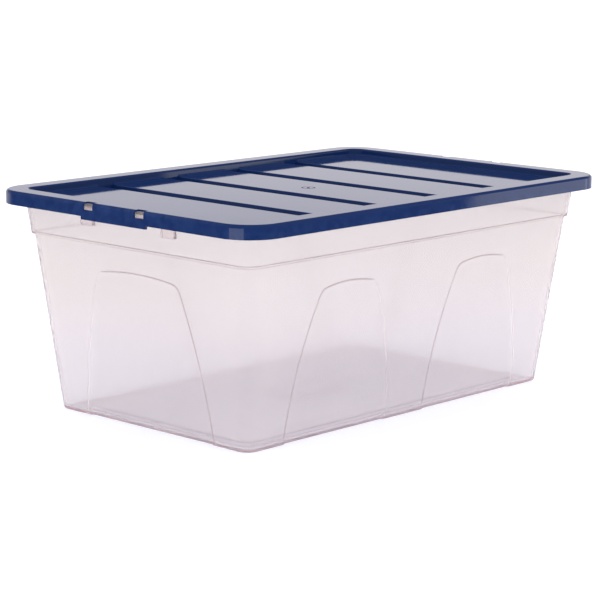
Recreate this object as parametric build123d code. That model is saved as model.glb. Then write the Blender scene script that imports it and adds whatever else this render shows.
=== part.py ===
from build123d import *
import math
import os

# An under bed storage box: a tapered tub and the lid that drops over its rim.
# Origin at the middle of the underside, +X along the long side, +Z up, millimetres.

# Overall sizes, measured over the lid.
overall_length = 595.0
overall_width = 395.0
overall_height = 246.0
lid_radius = 40.0  # plan radius of the lid's corners

# Lid.
lid_wall = 2.0
lid_clearance = 1.0  # skirt to the tub's rim, all round
skirt_depth = 15.0  # lid top to the skirt's lower edge
skirt_round = 3.5  # round along the skirt's top edge
border_width = 25.25  # raised border, from the lid's edge to the recess
recess_depth = 8.0  # border down to the panel
recess_draft = 6.0  # degrees
edge_round = 2.5  # rounds at the top and foot of the recess wall
groove_count = 4
groove_pitch = 102.0
groove_width = 20.0
groove_depth = 5.0
groove_draft = 12.0  # degrees
groove_round = 1.0
grip_length = 100.0  # deeper stretch of skirt in the middle of each end
grip_drop = 3.5
grip_round = 1.5
window_spacing = 78.0  # between the two windows of one end
window_width = 14.5
window_drop = 8.0  # lid top to the window's sill
window_reach = 7.5  # how far the window runs in over the border
hook_height = 3.0
hook_gap = 0.3  # hook to rim while the lid slides past it
gate_ring_radius = 8.0
gate_ring_width = 1.5
gate_ring_depth = 0.5
gate_pip_radius = 1.5

# Tub.
wall = 2.2
wall_draft = 6.35  # degrees
base_radius = 15.0  # plan radius of the tub's corners at the floor
heel_round = 3.0
floor_round = 5.0  # inside, where the walls meet the floor
band_height = 47.0  # upper band, from the ledge to the top of the rim
ledge_step = 3.3
ledge_round = 1.2
mouth_clearance = 1.05  # lid's recessed part to the tub's mouth, all round
rim_drop = 10.0  # height of the rim's turned-down lip
rim_round = 1.2
foot_width = 20.0  # standing rim round the raised middle of the floor
foot_height = 3.0
foot_draft = 35.0  # degrees
pad_spacing = 124.0  # between the two pads under one end of the rim
pad_width = 19.0
pad_thickness = 4.5
pad_drop = 26.0  # top of the rim to the pads' lower edge
floor_ring_length = 112.0
floor_ring_width = 56.0
floor_ring_section = 5.0
floor_ring_height = 1.2

# Arched panels pressed into the tub's sides.
arch_depth_low = 2.6  # at the floor
arch_depth_high = 0.8  # at the crown
arch_step_slope = 35.0  # degrees, between the wall and the step round an arch
arch_corner = 14.0
arch_crown_rise = 5.0
arch_gap = 60.0  # between the feet of the two arches on a long side
# margin: from the corner to an arch's foot; lean: how far a leg leans in up to the shoulder;
# bow: how far it bulges outwards; headroom: from the crown up to the ledge.
side_arch = dict(margin=38.0, lean=40.0, bow=7.5, headroom=29.0)
end_arch = dict(margin=34.0, lean=37.0, bow=5.0, headroom=25.0)

# Sizes that follow.
tub_height = overall_height - lid_wall
ledge_height = tub_height - band_height
panel_height = overall_height - recess_depth
slope = math.tan(math.radians(wall_draft))
step_tangent = math.tan(math.radians(arch_step_slope))
half_step_tangent = math.tan(math.radians(arch_step_slope / 2))
rim_inset = lid_wall + lid_clearance
rim_length = overall_length - 2 * rim_inset
rim_width = overall_width - 2 * rim_inset
rim_radius = lid_radius - rim_inset
# How far the rim stands out from the upper band.
rim_reach = border_width - lid_wall - mouth_clearance - wall - rim_inset
mouth_inset = rim_reach + ledge_step + tub_height * slope
base_length = rim_length - 2 * mouth_inset
base_width = rim_width - 2 * mouth_inset
band_radius = rim_radius - rim_reach
ledge_radius = band_radius - ledge_step
lip_bottom = tub_height - rim_drop
side_arch_half = (base_length / 2 - base_radius - side_arch["margin"] - arch_gap / 2) / 2
side_arch_place = arch_gap / 2 + side_arch_half
end_arch_half = base_width / 2 - base_radius - end_arch["margin"]
end_signs = (-1, 1)
tolerance = 0.001  # for picking corners by their place


def outline(length, width, radius, height):
    return Pos(0, 0, height) * RectangleRounded(length, width, radius)


def slab(length, width, radius, low, high):
    return extrude(outline(length, width, radius, low), high - low)


def tub_outline(height, growth, radius):
    spread = 2 * (height * slope + growth)
    return outline(base_length + spread, base_width + spread, radius, height)


def lowest_edges(solid):
    return solid.edges().group_by(Axis.Z)[0]


def highest_edges(solid):
    return solid.edges().group_by(Axis.Z)[-1]


# ---- tub ----


def body_form(inset, depth_low=0.0, depth_high=0.0):
    # Tapered body up to the ledge, with its sides pushed in by a depth at the floor and at the crown.
    low = inset
    high = ledge_height + inset
    crown = ledge_height - side_arch["headroom"]
    fading = (depth_low - depth_high) / crown
    low_face = tub_outline(low, fading * low - depth_low - inset, base_radius - inset)
    high_face = tub_outline(high, fading * high - depth_low - inset, ledge_radius - inset)
    body = loft([low_face, high_face], ruled=True)
    return fillet(lowest_edges(body), floor_round if inset else heel_round)


def arch_outline(grow, half_foot, lean, bow, headroom):
    foot = half_foot + grow
    shoulder = foot - lean
    top = ledge_height - headroom - arch_crown_rise + grow
    middle = (foot + shoulder) / 2 + bow
    below = -foot_height
    left = ThreePointArc((-foot, 0), (-middle, top / 2), (-shoulder, top))
    crown = ThreePointArc((-shoulder, top), (0, top + arch_crown_rise), (shoulder, top))
    right = ThreePointArc((shoulder, top), (middle, top / 2), (foot, 0))
    closing = Polyline((foot, 0), (foot, below), (-foot, below), (-foot, 0))
    face = make_face([left, crown, right, closing])
    corners = [corner for corner in face.vertices() if abs(corner.Y - top) < tolerance]
    return fillet(corners, arch_corner + grow)


def arch_block(plane, inset, half_foot, shape):
    # A block that narrows inwards with the slope of the steps, centred on the wall's surface.
    reach = arch_depth_low + ledge_step
    spread = reach / step_tangent
    growth = inset * half_step_tangent
    sizes = (half_foot, shape["lean"], shape["bow"], shape["headroom"])
    inner = plane.offset(-inset - reach) * arch_outline(growth - spread, *sizes)
    outer = plane.offset(-inset + reach) * arch_outline(growth + spread, *sizes)
    return loft([inner, outer], ruled=True)


def arch_blocks(inset):
    level = math.cos(math.radians(wall_draft))
    drop = -math.sin(math.radians(wall_draft))
    blocks = []
    for side in end_signs:
        end_foot = (side * base_length / 2, 0, 0)
        end_plane = Plane(end_foot, x_dir=(0, side, 0), z_dir=(side * level, 0, drop))
        blocks.append(arch_block(end_plane, inset, end_arch_half, end_arch))
        for place in (-side_arch_place, side_arch_place):
            side_foot = (place, side * base_width / 2, 0)
            side_plane = Plane(side_foot, x_dir=(-side, 0, 0), z_dir=(0, side * level, drop))
            blocks.append(arch_block(side_plane, inset, side_arch_half, side_arch))
    return blocks


def band_form(inset):
    # Upper band, from the ledge to the rim.
    low = ledge_height + inset
    growth = ledge_step - inset
    low_face = tub_outline(low, growth, band_radius - inset)
    high_face = tub_outline(tub_height, growth, band_radius - inset)
    band = loft([low_face, high_face], ruled=True)
    return fillet(lowest_edges(band), ledge_round)


def foot_form(inset):
    # The raised middle of the floor, seen from below.
    shrink = 2 * (foot_width - inset)
    length = base_length - shrink
    width = base_width - shrink
    rise = foot_height
    lean = 2 * rise * math.tan(math.radians(foot_draft))
    radius = base_radius + inset
    low_face = outline(length, width, radius, inset)
    high_face = outline(length - lean, width - lean, radius - lean / 2, rise + inset)
    return loft([low_face, high_face], ruled=True)


def tub_form(inset):
    body = body_form(inset)
    pressed = body_form(inset, arch_depth_low, arch_depth_high)
    for block in arch_blocks(inset):
        body -= block - pressed
    return body + band_form(inset) - foot_form(inset)


def rim():
    # Flat rim with a lip turned down along its outer edge.
    block = slab(rim_length, rim_width, rim_radius, lip_bottom, tub_height)
    block = fillet(highest_edges(block), rim_round)
    shrink = 2 * wall
    hollow = slab(rim_length - shrink, rim_width - shrink, rim_radius - wall, lip_bottom, tub_height - wall)
    return block - hollow


def rim_pads():
    # Thickened pads on the end walls, right under the rim.
    thick = band_form(-pad_thickness)
    reach = rim_reach + pad_drop * slope + wall  # from the rim's edge in to the band's inner face
    height = pad_drop - wall / 2
    middle = tub_height - pad_drop + height / 2
    pads = []
    for side in end_signs:
        for place in (-pad_spacing / 2, pad_spacing / 2):
            block = Pos(side * rim_length / 2, place, middle) * Box(2 * reach, pad_width, height)
            pads.append(thick & block)
    return pads


def floor_ring():
    # Low bead in a stadium shape on the floor.
    bottom = wall + foot_height
    hole_length = floor_ring_length - 2 * floor_ring_section
    hole_width = floor_ring_width - 2 * floor_ring_section
    outer = SlotOverall(floor_ring_length, floor_ring_width)
    inner = SlotOverall(hole_length, hole_width)
    bead = extrude(Pos(0, 0, bottom - wall / 2) * (outer - inner), floor_ring_height + wall / 2)
    return fillet(highest_edges(bead), floor_ring_height / 2)


def make_tub():
    tub = tub_form(0.0) + rim()
    for pad in rim_pads():
        tub += pad
    tub -= tub_form(wall)
    return tub + floor_ring()


# ---- lid ----


def cover():
    # Lid without its recess: top plate and skirt.
    low = overall_height - skirt_depth
    block = slab(overall_length, overall_width, lid_radius, low, overall_height)
    block = fillet(highest_edges(block), skirt_round)
    shrink = 2 * lid_wall
    hollow = slab(overall_length - shrink, overall_width - shrink, lid_radius - lid_wall, low, tub_height)
    hollow = fillet(highest_edges(hollow), skirt_round - lid_wall)
    return block - hollow


def recess_outline(height, inset):
    lean = (overall_height - height) * math.tan(math.radians(recess_draft))
    shrink = 2 * (border_width + lean - inset)
    radius = lid_radius - border_width + inset
    return outline(overall_length - shrink, overall_width - shrink, radius, height)


def recess_block(bottom, inset):
    return loft([recess_outline(bottom, inset), recess_outline(overall_height, inset)], ruled=True)


def groove_bar(place, inset):
    # One drafted channel across the panel. Its upper edges are rounded, so it is wider there.
    floor = panel_height - groove_depth - inset
    above = panel_height + recess_depth / 2
    lean = groove_depth * math.tan(math.radians(groove_draft))
    half_top = groove_width / 2 + inset
    half_floor = half_top - lean
    half_above = half_top + 2 * groove_round
    points = [
        (half_floor, floor),
        (half_top, panel_height - inset),
        (half_above, panel_height - inset),
        (half_above, above),
    ]
    mirrored = [(-across, height) for across, height in reversed(points)]
    profile = make_face(Polyline(*points, *mirrored, close=True))
    lips = [corner for corner in profile.vertices() if abs(abs(corner.X) - half_above) > tolerance]
    profile = fillet(lips, groove_round)
    plane = Plane((place, 0, 0), x_dir=(1, 0, 0), z_dir=(0, -1, 0))
    return extrude(plane * profile, overall_width / 2, both=True)


def recess_form(inset):
    # The recess with its grooves. inset moves every face down and outwards by the lid's wall.
    form = recess_block(panel_height - inset, inset)
    form = fillet(lowest_edges(form), edge_round + inset)
    deep = recess_block(panel_height - groove_depth - inset, inset)
    for index in range(groove_count):
        place = (index - (groove_count - 1) / 2) * groove_pitch
        form += deep & groove_bar(place, inset)
    return form


def rounded_opening(lid):
    # Round along the recess's upper edge.
    limit = overall_length / 2 - border_width + lid_wall
    side_limit = overall_width / 2 - border_width + lid_wall
    opening = [
        edge
        for edge in highest_edges(lid)
        if abs(edge.center().X) < limit and abs(edge.center().Y) < side_limit
    ]
    return fillet(opening, edge_round)


def grips():
    # Deeper stretches of skirt, one at each end.
    top = overall_height - skirt_depth
    bars = []
    for side in end_signs:
        middle = side * (overall_length - lid_wall) / 2
        bar = Pos(middle, 0, top) * Box(lid_wall, grip_length, 2 * grip_drop)
        corners = bar.edges().filter_by(Axis.X).group_by(Axis.Z)[0]
        bars.append(fillet(corners, grip_round))
    return bars


def windows():
    # Moulding openings through the skirt and the edge of the border, above each hook.
    sill = overall_height - window_drop
    reach = lid_wall + window_reach
    cuts = []
    for side in end_signs:
        for place in (-window_spacing / 2, window_spacing / 2):
            middle = side * (overall_length / 2 - window_reach + reach / 2)
            cuts.append(Pos(middle, place, sill + window_drop) * Box(reach, window_width, 2 * window_drop))
    return cuts


def hooks():
    # Wedges inside the skirt that grip the rim's lip from below.
    reach = lid_clearance - hook_gap
    inner = overall_length / 2 - lid_wall
    top = lip_bottom - hook_gap
    wedges = []
    for side in end_signs:
        face = make_face(
            Polyline(
                (side * (inner + lid_wall / 2), top),
                (side * (inner - reach), top),
                (side * inner, top - hook_height),
                (side * (inner + lid_wall / 2), top - hook_height),
                close=True,
            )
        )
        for place in (-window_spacing / 2, window_spacing / 2):
            plane = Plane((0, place, 0), x_dir=(1, 0, 0), z_dir=(0, -1, 0))
            wedges.append(extrude(plane * face, window_width / 2, both=True))
    return wedges


def gate_mark():
    # Plain moulding mark in the middle of the panel: a shallow ring round a low pip.
    ring = Circle(gate_ring_radius) - Circle(gate_ring_radius - gate_ring_width)
    cut = Pos(0, 0, panel_height - gate_ring_depth) * extrude(ring, 2 * gate_ring_depth)
    pip = Pos(0, 0, panel_height) * Cylinder(gate_pip_radius, 2 * gate_ring_depth)
    return cut, pip


def make_lid():
    lid = rounded_opening(cover() + recess_form(lid_wall) - recess_form(0.0))
    for bar in grips():
        lid += bar
    for cut in windows():
        lid -= cut
    for wedge in hooks():
        lid += wedge
    ring, pip = gate_mark()
    return lid - ring + pip


def main():
    os.makedirs("parts", exist_ok=True)
    for name, solid in (("tub", make_tub()), ("lid", make_lid())):
        solid.label = name
        export_step(solid, f"parts/{name}.step")


main()
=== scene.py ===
import math

import bpy
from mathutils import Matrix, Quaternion, Vector

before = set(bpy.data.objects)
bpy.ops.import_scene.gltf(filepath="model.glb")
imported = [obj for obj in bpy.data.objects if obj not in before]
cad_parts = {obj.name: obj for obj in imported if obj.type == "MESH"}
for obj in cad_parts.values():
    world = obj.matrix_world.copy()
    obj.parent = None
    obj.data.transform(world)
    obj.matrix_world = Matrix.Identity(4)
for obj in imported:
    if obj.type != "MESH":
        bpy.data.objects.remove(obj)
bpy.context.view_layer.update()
print("frame loaded:", ", ".join(sorted(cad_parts)))


# Camera: a long lens a little above the lid, off the corner where a short end meets a long side.
cameraSetup = {
    "azimuth": -47.11,  # degrees round from the long side
    "elevation": 10.71,
    "roll": 0.511,
    "distance": 2.4775,
    "aimHeight": 0.130,
    "aside": -0.0085,  # the aim sits a touch off the middle of the box
    "below": -0.0209,
    "lens": 130.41,
    "sensorWidth": 36,
}


def makeCamera(setup):
    azimuth, elevation = math.radians(setup["azimuth"]), math.radians(setup["elevation"])
    level = math.cos(elevation)
    back = Vector((math.sin(azimuth) * level, -math.cos(azimuth) * level, math.sin(elevation)))
    turn = (-back).to_track_quat("-Z", "Y") @ Quaternion((0, 0, 1), math.radians(setup["roll"]))
    place = Vector((0, 0, setup["aimHeight"])) + back * setup["distance"]
    place += turn @ Vector((setup["aside"], setup["below"], 0))
    bpy.ops.object.camera_add(location=place)
    camera = bpy.context.object
    camera.name = "camera"
    camera.rotation_mode = "QUATERNION"
    camera.rotation_quaternion = turn
    camera.data.lens = setup["lens"]
    camera.data.sensor_width = setup["sensorWidth"]
    bpy.context.scene.camera = camera


makeCamera(cameraSetup)
print("camera placed")


def feed(tree, socket, value):
    if isinstance(value, bpy.types.NodeSocket):
        tree.links.new(value, socket)
    else:
        socket.default_value = value


def addNode(tree, kind, inputs=None, **settings):
    node = tree.nodes.new("ShaderNode" + kind)
    for name, value in settings.items():
        setattr(node, name, value)
    for name, value in (inputs or {}).items():
        feed(tree, node.inputs[name], value)
    return node


def math2(tree, operation, first, second):
    return addNode(tree, "Math", {0: first, 1: second}, operation=operation).outputs[0]


def newMaterial(name):
    material = bpy.data.materials.new(name)
    material.use_nodes = True
    material.node_tree.nodes.clear()
    return material, material.node_tree


# Floor and light. What the gloss of the plastic mirrors is kept apart from what lights the box,
# as flags and a dark ceiling do in a studio.
studio = {
    "floorSize": 80.0,
    "floorGap": 0.0003,  # keeps the floor clear of the underside
    "floorColour": (0.50, 0.50, 0.50, 1),
    "floorGlow": (0.58, 0.585, 0.69, 1),  # the floor is lit from below as well
    "behind": (0.733, 0.680, 0.0),  # from the box towards the backdrop
    # Where the mirrored room turns from the dark front into the backdrop, along "behind".
    "backdropStart": 0.25,
    "backdropEnd": 0.60,
    # Metres behind the middle of the box: a dark flag lies nearer, the pale table beyond.
    "mirroredFloor": [(0.35, (0.12, 0.13, 0.16, 1)), (0.80, (0.80, 0.78, 0.84, 1))],
    # Light by height, 0 at the horizon and 1 overhead.
    "sky": [
        (0.00, (1.24, 1.22, 1.23, 1)),
        (0.30, (1.52, 1.50, 1.51, 1)),
        (0.75, (1.35, 1.35, 1.35, 1)),
        (1.00, (0.60, 0.60, 0.60, 1)),
    ],
    # The backdrop as the gloss mirrors it, by the same height.
    "mirroredSky": [
        (0.10, (1.00, 0.97, 1.00, 1)),
        (0.125, (0.96, 0.93, 0.97, 1)),
        (0.15, (0.86, 0.84, 0.90, 1)),
        (0.18, (0.68, 0.67, 0.74, 1)),
        (0.25, (0.42, 0.42, 0.48, 1)),
        (0.50, (0.14, 0.14, 0.18, 1)),
        (1.00, (0.10, 0.10, 0.13, 1)),
    ],
    "mirroredFront": (0.20, 0.21, 0.26, 1),  # dark room on the camera's side
}
lamps = {
    "overhead": {
        "at": (0.2, 0.3, 2.4),
        "aim": (0, 0, 0.1),
        "size": (2.6, 2.6),
        "power": 12.0,
        "mirrored": False,
    },
    "sideStrip": {
        "at": (1.07, -0.75, 0.25),
        "aim": (0.28, -0.2, 0.2),
        "size": (0.4, 0.5),
        "power": 0.8,
        "mirrored": True,
    },
    "cornerStrip": {
        "at": (-1.25, -0.30, 0.05),
        "aim": (-0.28, -0.18, 0.24),
        "size": (0.8, 0.3),
        "power": 1.0,
        "mirrored": True,
    },
}


def mirroredRay(tree):
    path = addNode(tree, "LightPath").outputs
    return math2(tree, "MULTIPLY", path["Is Glossy Ray"], path["Is Reflection Ray"])


def colourRamp(tree, factor, stops):
    ramp = addNode(tree, "ValToRGB", {"Fac": factor})
    elements = ramp.color_ramp.elements
    for index, (place, colour) in enumerate(stops):
        element = elements[index] if index < len(elements) else elements.new(place)
        element.position = place
        element.color = colour
    return ramp.outputs["Color"]


def mixColour(tree, factor, first, second):
    mix = addNode(tree, "Mix", {"Factor": factor}, data_type="RGBA")
    for slot, value in (("A", first), ("B", second)):
        feed(tree, next(i for i in mix.inputs if i.name == slot and i.type == "RGBA"), value)
    return next(o for o in mix.outputs if o.type == "RGBA")


def howFarBehind(tree, vector, behind):
    return addNode(tree, "VectorMath", {0: vector, 1: behind}, operation="DOT_PRODUCT").outputs["Value"]


def makeFloor(setup):
    bpy.ops.object.select_all(action="DESELECT")
    bpy.ops.mesh.primitive_plane_add(size=setup["floorSize"], location=(0, 0, -setup["floorGap"]))
    floor = bpy.context.object
    floor.name = "floor"
    material, tree = newMaterial("paleFloor")
    place = addNode(tree, "TexCoord").outputs["Object"]
    mirrored = colourRamp(tree, howFarBehind(tree, place, setup["behind"]), setup["mirroredFloor"])
    seen = addNode(tree, "BsdfDiffuse", {"Color": setup["floorColour"]})
    lit = addNode(tree, "Emission", {"Color": setup["floorGlow"]})
    table = addNode(tree, "AddShader", {0: seen.outputs[0], 1: lit.outputs[0]})
    flag = addNode(tree, "Emission", {"Color": mirrored})
    surface = addNode(
        tree,
        "MixShader",
        {"Fac": mirroredRay(tree), 1: table.outputs[0], 2: flag.outputs[0]},
    )
    addNode(tree, "OutputMaterial", {"Surface": surface.outputs[0]})
    floor.data.materials.append(material)


def makeSky(setup):
    world = bpy.data.worlds.new("studioSky")
    bpy.context.scene.world = world
    world.use_nodes = True
    tree = world.node_tree
    tree.nodes.clear()
    place = addNode(tree, "TexCoord").outputs["Generated"]
    height = addNode(tree, "SeparateXYZ", {"Vector": place}).outputs["Z"]
    light = colourRamp(tree, height, setup["sky"])
    backdrop = colourRamp(tree, height, setup["mirroredSky"])
    back = addNode(
        tree,
        "MapRange",
        {
            "Value": howFarBehind(tree, place, setup["behind"]),
            "From Min": setup["backdropStart"],
            "From Max": setup["backdropEnd"],
        },
        interpolation_type="SMOOTHSTEP",
    )
    mirrored = mixColour(tree, back.outputs["Result"], setup["mirroredFront"], backdrop)
    glow = addNode(tree, "Background", {"Color": mixColour(tree, mirroredRay(tree), light, mirrored)})
    addNode(tree, "OutputWorld", {"Surface": glow.outputs[0]})


def makeLamps(setups):
    for name, lamp in setups.items():
        bpy.ops.object.light_add(type="AREA", location=lamp["at"])
        light = bpy.context.object
        light.name = name
        aim = Vector(lamp["aim"]) - Vector(lamp["at"])
        light.rotation_euler = aim.to_track_quat("-Z", "Y").to_euler()
        light.data.shape = "RECTANGLE"
        light.data.size, light.data.size_y = lamp["size"]
        light.data.energy = lamp["power"]
        light.visible_camera = False
        light.visible_glossy = lamp["mirrored"]


makeFloor(studio)
makeSky(studio)
makeLamps(lamps)
bpy.context.scene.view_settings.view_transform = "Standard"
print("floor and light ready")


# Effects for moulded plastic. Their scales count features per metre.
skinSetup = {
    "grainDetail": 2.0,
    "warpDetail": 1.0,
    "patchScale": 23.0,
    "patchDetail": 5.0,
    "patchRoughness": 0.6,
}
edgeHighlightAndWearSetup = {
    "start": 0.53,  # pointiness where the edge mask begins and where it is full
    "end": 0.60,
    "breakupScale": 90.0,
    "breakupDetail": 6.0,
    "breakupLow": 0.38,
    "breakupHigh": 0.62,
}
dustSetup = {
    "lowestFacing": 0.6,  # how far up a surface has to face before dust stays on it
    "driftScale": 14.0,
    "driftDetail": 8.0,
    "driftRoughness": 0.7,
    "driftLow": 0.35,
    "driftHigh": 0.75,
}


def newGroup(name, inputs, outputs):
    group = bpy.data.node_groups.new(name, "ShaderNodeTree")
    for socketName, kind, value in inputs:
        socket = group.interface.new_socket(socketName, in_out="INPUT", socket_type="NodeSocket" + kind)
        if value is not None:
            socket.default_value = value
    for socketName, kind in outputs:
        group.interface.new_socket(socketName, in_out="OUTPUT", socket_type="NodeSocket" + kind)
    start = group.nodes.new("NodeGroupInput")
    end = group.nodes.new("NodeGroupOutput")
    return group, start.outputs, end.inputs


def placeGroup(tree, group, inputs):
    node = tree.nodes.new("ShaderNodeGroup")
    node.node_tree = group
    for name, value in inputs.items():
        feed(tree, node.inputs[name], value)
    return node.outputs


def makeMouldedSkin(setup):
    # Height in metres: the even grain of the mould's steel over slow sink and warp of the sheet.
    group, given, result = newGroup(
        "mouldedSkin",
        [
            ("Vector", "Vector", None),
            ("Grain Scale", "Float", None),
            ("Grain Height", "Float", None),
            ("Warp Scale", "Float", None),
            ("Warp Height", "Float", None),
        ],
        [("Height", "Float"), ("Patch", "Float")],
    )
    place = given["Vector"]
    grain = addNode(
        group,
        "TexNoise",
        {"Vector": place, "Scale": given["Grain Scale"], "Detail": setup["grainDetail"]},
    )
    warp = addNode(
        group,
        "TexNoise",
        {"Vector": place, "Scale": given["Warp Scale"], "Detail": setup["warpDetail"]},
    )
    grainHeight = math2(group, "MULTIPLY", grain.outputs["Fac"], given["Grain Height"])
    warpHeight = math2(group, "MULTIPLY", warp.outputs["Fac"], given["Warp Height"])
    group.links.new(math2(group, "ADD", grainHeight, warpHeight), result["Height"])
    patch = addNode(
        group,
        "TexNoise",
        {
            "Vector": place,
            "Scale": setup["patchScale"],
            "Detail": setup["patchDetail"],
            "Roughness": setup["patchRoughness"],
        },
    )
    group.links.new(patch.outputs["Fac"], result["Patch"])
    return group


def makeEdgeHighlightAndWear(setup):
    # Mask of the outer edges, found by pointiness and broken up by noise. The lid is lightened along it
    # as a painted highlight; the tub turns greyer and rougher along it as wear.
    group, given, result = newGroup(
        "edgeHighlightAndWearMask",
        [
            ("Vector", "Vector", None),
            ("Start", "Float", setup["start"]),
            ("End", "Float", setup["end"]),
            ("Amount", "Float", None),
        ],
        [("Mask", "Float")],
    )
    edge = addNode(group, "NewGeometry").outputs["Pointiness"]
    litAndWornEdges = addNode(
        group,
        "MapRange",
        {"Value": edge, "From Min": given["Start"], "From Max": given["End"]},
    )
    edgeBreakup = addNode(
        group,
        "TexNoise",
        {"Vector": given["Vector"], "Scale": setup["breakupScale"], "Detail": setup["breakupDetail"]},
    )
    broken = addNode(
        group,
        "MapRange",
        {"Value": edgeBreakup.outputs["Fac"], "From Min": setup["breakupLow"], "From Max": setup["breakupHigh"]},
    )
    mask = math2(group, "MULTIPLY", litAndWornEdges.outputs["Result"], broken.outputs["Result"])
    group.links.new(math2(group, "MULTIPLY", mask, given["Amount"]), result["Mask"])
    return group


def makeRestingDust(setup):
    # Mask of the dust that settles on what faces up.
    group, given, result = newGroup(
        "restingDust",
        [("Vector", "Vector", None), ("Amount", "Float", None)],
        [("Mask", "Float")],
    )
    facing = addNode(group, "SeparateXYZ", {"Vector": addNode(group, "NewGeometry").outputs["Normal"]})
    up = addNode(group, "MapRange", {"Value": facing.outputs["Z"], "From Min": setup["lowestFacing"]})
    drift = addNode(
        group,
        "TexNoise",
        {
            "Vector": given["Vector"],
            "Scale": setup["driftScale"],
            "Detail": setup["driftDetail"],
            "Roughness": setup["driftRoughness"],
        },
    )
    thin = addNode(
        group,
        "MapRange",
        {"Value": drift.outputs["Fac"], "From Min": setup["driftLow"], "From Max": setup["driftHigh"]},
    )
    mask = math2(group, "MULTIPLY", up.outputs["Result"], thin.outputs["Result"])
    group.links.new(math2(group, "MULTIPLY", mask, given["Amount"]), result["Mask"])
    return group


skinGroup = makeMouldedSkin(skinSetup)
edgeHighlightAndWearGroup = makeEdgeHighlightAndWear(edgeHighlightAndWearSetup)
dustGroup = makeRestingDust(dustSetup)
print("surface effects ready")


def blendValue(tree, factor, low, high):
    mix = addNode(tree, "MapRange", {"Value": factor, "To Min": low, "To Max": high})
    return mix.outputs["Result"]


def placeSkin(tree, place, finish):
    return placeGroup(
        tree,
        skinGroup,
        {
            "Vector": place,
            "Grain Scale": finish["grainScale"],
            "Grain Height": finish["grainHeight"],
            "Warp Scale": finish["warpScale"],
            "Warp Height": finish["warpHeight"],
        },
    )


def reliefNormal(tree, height):
    # The skin's height is in metres already, so the bump's distance is one metre.
    return addNode(tree, "Bump", {"Height": height, "Distance": 1.0}).outputs["Normal"]


# Lid: glossy navy polypropylene.
lidFinish = {
    "colour": (0.0055, 0.022, 0.098, 1),
    "deepColour": (0.0045, 0.018, 0.082, 1),
    "litAndWornEdgeColour": (0.022, 0.050, 0.160, 1),
    # Painted highlight: the lighter navy laid along the lid's outer edges.
    "dustColour": (0.16, 0.16, 0.18, 1),
    "roughness": (0.045, 0.075),  # over the patches of the mould's polish
    "wornRoughness": 0.22,
    "grainScale": 900.0,
    "grainHeight": 0.0000012,
    "warpScale": 7.0,
    "warpHeight": 0.00012,
    "litAndWornAmount": 0.45,
    "dust": 0.05,
}


def makeLidPlastic(finish):
    material, tree = newMaterial("lidPlastic")
    place = addNode(tree, "TexCoord").outputs["Object"]
    skin = placeSkin(tree, place, finish)
    litAndWornEdges = placeGroup(tree, edgeHighlightAndWearGroup, {"Vector": place, "Amount": finish["litAndWornAmount"]})["Mask"]
    dusty = placeGroup(tree, dustGroup, {"Vector": place, "Amount": finish["dust"]})["Mask"]
    plain = mixColour(tree, skin["Patch"], finish["colour"], finish["deepColour"])
    # Painted highlight: the lid's outer edges are lightened along the edge mask.
    edgeLitColour = mixColour(tree, litAndWornEdges, plain, finish["litAndWornEdgeColour"])
    colour = mixColour(tree, dusty, edgeLitColour, finish["dustColour"])
    polish = blendValue(tree, skin["Patch"], *finish["roughness"])
    roughness = blendValue(tree, litAndWornEdges, polish, finish["wornRoughness"])
    surface = addNode(
        tree,
        "BsdfPrincipled",
        {"Base Color": colour, "Roughness": roughness, "Normal": reliefNormal(tree, skin["Height"])},
    )
    addNode(tree, "OutputMaterial", {"Surface": surface.outputs[0]})
    return material


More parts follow.
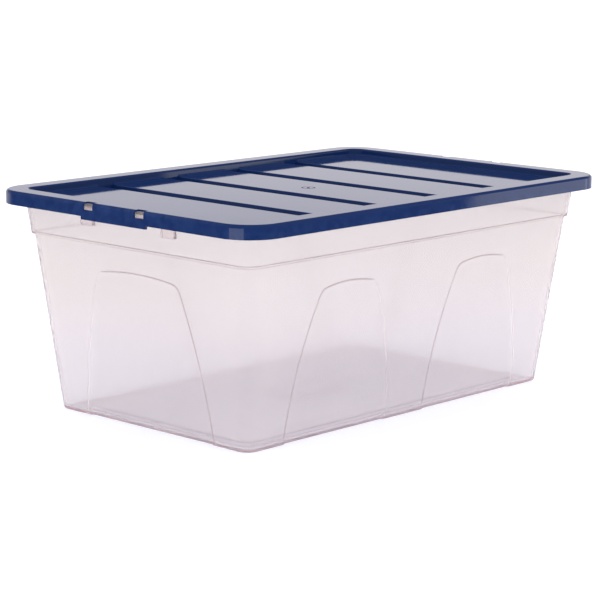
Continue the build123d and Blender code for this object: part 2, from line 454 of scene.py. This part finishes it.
# Tub: see-through, slightly milky polypropylene that takes its tint in its thickness, with a painted
# shading by height on its colour.
tubFinish = {
    # Height in metres and colour, a painted shading: cooler towards the floor for the shade under the
    # lid seen through the walls, warmer under the rim for the light behind.
    "paintedShadingByHeight": [
        (0.000, (0.995, 0.995, 1.000, 1)),
        (0.075, (0.995, 0.992, 0.995, 1)),
        (0.140, (0.995, 0.983, 0.955, 1)),
    ],
    "litAndWornEdgeColour": (0.93, 0.92, 0.93, 1),
    "roughness": (0.10, 0.20),  # over the flow of the melt
    "wornRoughness": 0.35,
    "clear": 0.97,
    "bend": 1.25,  # lower than solid plastic's, because a thin wall hardly bends what is behind it
    "haze": 0.22,
    "hazeColour": (1.0, 0.985, 0.99, 1),
    "tint": (0.994, 0.984, 0.983, 1),
    "tintPerMetre": 1000.0,
    "grainScale": 700.0,
    "grainHeight": 0.000002,
    "warpScale": 9.0,
    "warpHeight": 0.0002,
    "litAndWornAmount": 0.08,
}


def makeTubPlastic(finish):
    material, tree = newMaterial("tubPlastic")
    place = addNode(tree, "TexCoord").outputs["Object"]
    skin = placeSkin(tree, place, finish)
    litAndWornEdges = placeGroup(tree, edgeHighlightAndWearGroup, {"Vector": place, "Amount": finish["litAndWornAmount"]})["Mask"]
    height = addNode(tree, "SeparateXYZ", {"Vector": place}).outputs["Z"]
    topLevel = finish["paintedShadingByHeight"][-1][0]
    stops = [(level / topLevel, colour) for level, colour in finish["paintedShadingByHeight"]]
    # Painted shade: the ramp by height cools the lower walls and warms the upper ones.
    plain = colourRamp(tree, math2(tree, "DIVIDE", height, topLevel), stops)
    colour = mixColour(tree, litAndWornEdges, plain, finish["litAndWornEdgeColour"])
    flow = blendValue(tree, skin["Patch"], *finish["roughness"])
    roughness = blendValue(tree, litAndWornEdges, flow, finish["wornRoughness"])
    clear = addNode(
        tree,
        "BsdfPrincipled",
        {
            "Base Color": colour,
            "Roughness": roughness,
            "Transmission Weight": finish["clear"],
            "IOR": finish["bend"],
            "Normal": reliefNormal(tree, skin["Height"]),
        },
    )
    haze = addNode(tree, "BsdfTranslucent", {"Color": finish["hazeColour"]})
    surface = addNode(
        tree,
        "MixShader",
        {"Fac": finish["haze"], 1: clear.outputs[0], 2: haze.outputs[0]},
    )
    inside = addNode(
        tree,
        "VolumeAbsorption",
        {"Color": finish["tint"], "Density": finish["tintPerMetre"]},
    )
    addNode(tree, "OutputMaterial", {"Surface": surface.outputs[0], "Volume": inside.outputs[0]})
    return material


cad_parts["lid"].material_slots[0].material = makeLidPlastic(lidFinish)
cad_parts["tub"].material_slots[0].material = makeTubPlastic(tubFinish)
print("plastics ready")
